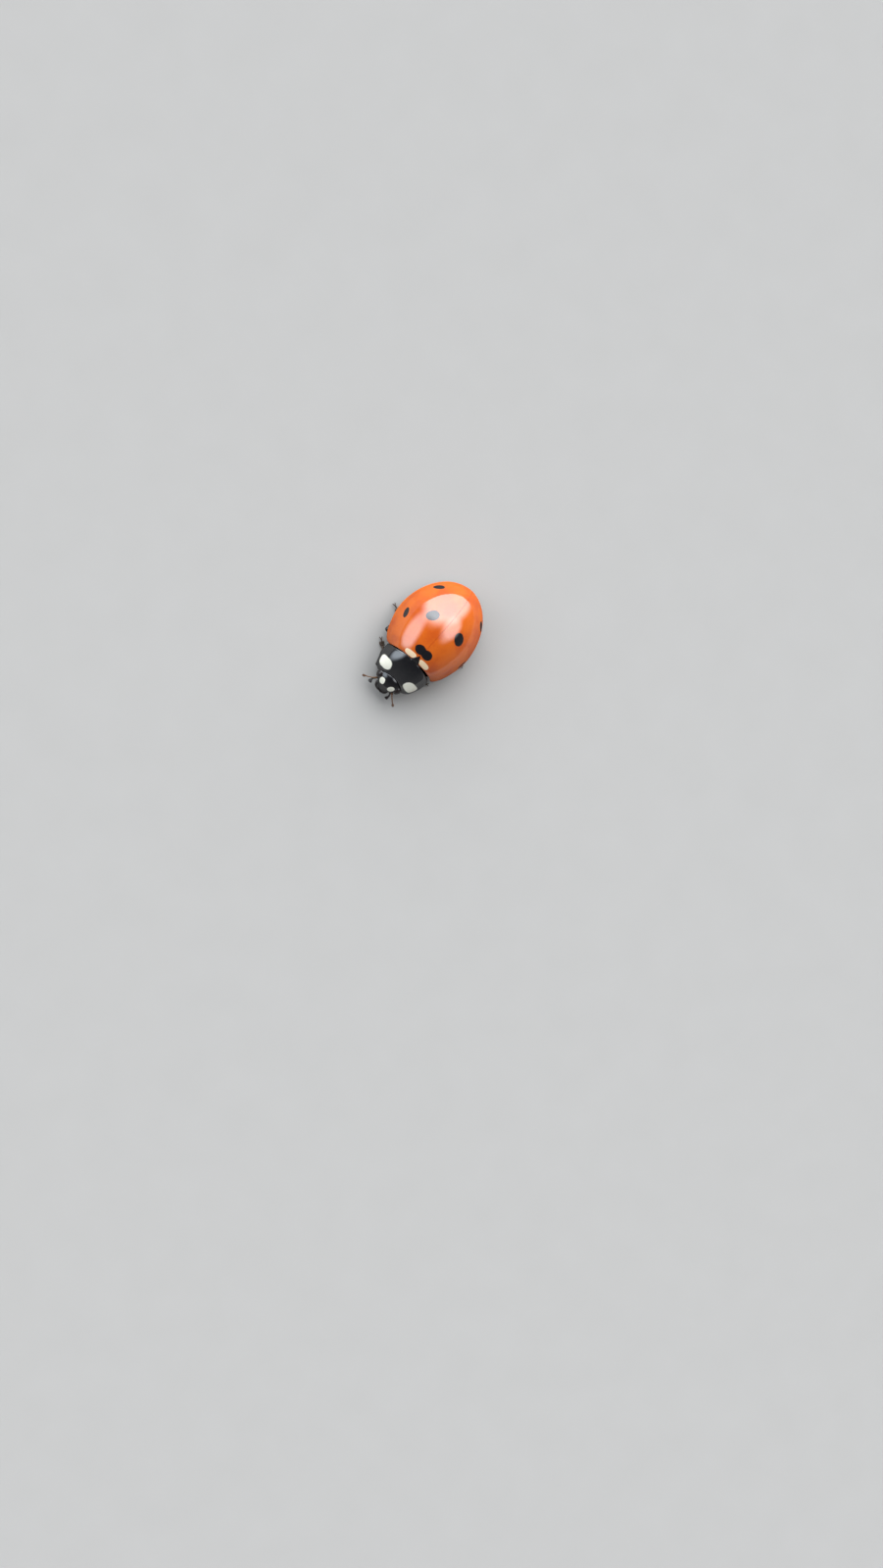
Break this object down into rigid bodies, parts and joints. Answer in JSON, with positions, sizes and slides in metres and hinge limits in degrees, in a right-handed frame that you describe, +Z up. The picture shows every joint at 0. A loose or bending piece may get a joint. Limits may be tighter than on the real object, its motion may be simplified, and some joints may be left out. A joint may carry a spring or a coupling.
{
  "type": "ladybird",
  "caption": "Small domed beetle: rounded spotted wing cases, a dark shield with pale corners, a short head with feelers, and folded legs standing on flat soles.",
  "frame": {"origin": "centre of the overall box, on the plane that the six soles stand on", "axes": "+Z up; the head points along -Y; +X is the beetle's left"},
  "size_m": [0.0056, 0.008, 0.0033],
  "materials": {
    "wing_case": "glossy orange-red cuticle with black spots and cream patches beside the scutellum",
    "black_plate": "glossy black, finely punctured cuticle",
    "shield": "glossy black cuticle with a cream-white patch at each front corner",
    "eye": "black faceted eye",
    "mouthpart": "dark brown horn",
    "feeler": "brown, darker towards the club",
    "leg": "satin black",
    "foot": "brown-black with a felted sole",
    "belly": "satin black, finely punctured and downy"
  },
  "bodies": {
    "root": {"elytron_left": "wing_case", "elytron_right": "wing_case", "scutellum": "black_plate", "pronotum": "shield", "prothorax": "belly", "thorax": "belly", "abdomen": "belly", "head": "black_plate", "labrum": "mouthpart", "mandible_left": "mouthpart", "mandible_right": "mouthpart", "palp_left": "mouthpart", "palp_right": "mouthpart", "eye_left": "eye", "eye_right": "eye", "antenna_left": "feeler", "antenna_right": "feeler", "leg_front_left_femur": "leg", "leg_front_left_tibia": "leg", "leg_front_left_tarsus": "foot", "leg_front_right_femur": "leg", "leg_front_right_tibia": "leg", "leg_front_right_tarsus": "foot", "leg_middle_left_femur": "leg", "leg_middle_left_tibia": "leg", "leg_middle_left_tarsus": "foot", "leg_middle_right_femur": "leg", "leg_middle_right_tibia": "leg", "leg_middle_right_tarsus": "foot", "leg_hind_left_femur": "leg", "leg_hind_left_tibia": "leg", "leg_hind_left_tarsus": "foot", "leg_hind_right_femur": "leg", "leg_hind_right_tibia": "leg", "leg_hind_right_tarsus": "foot"}
  },
  "joints": []
}
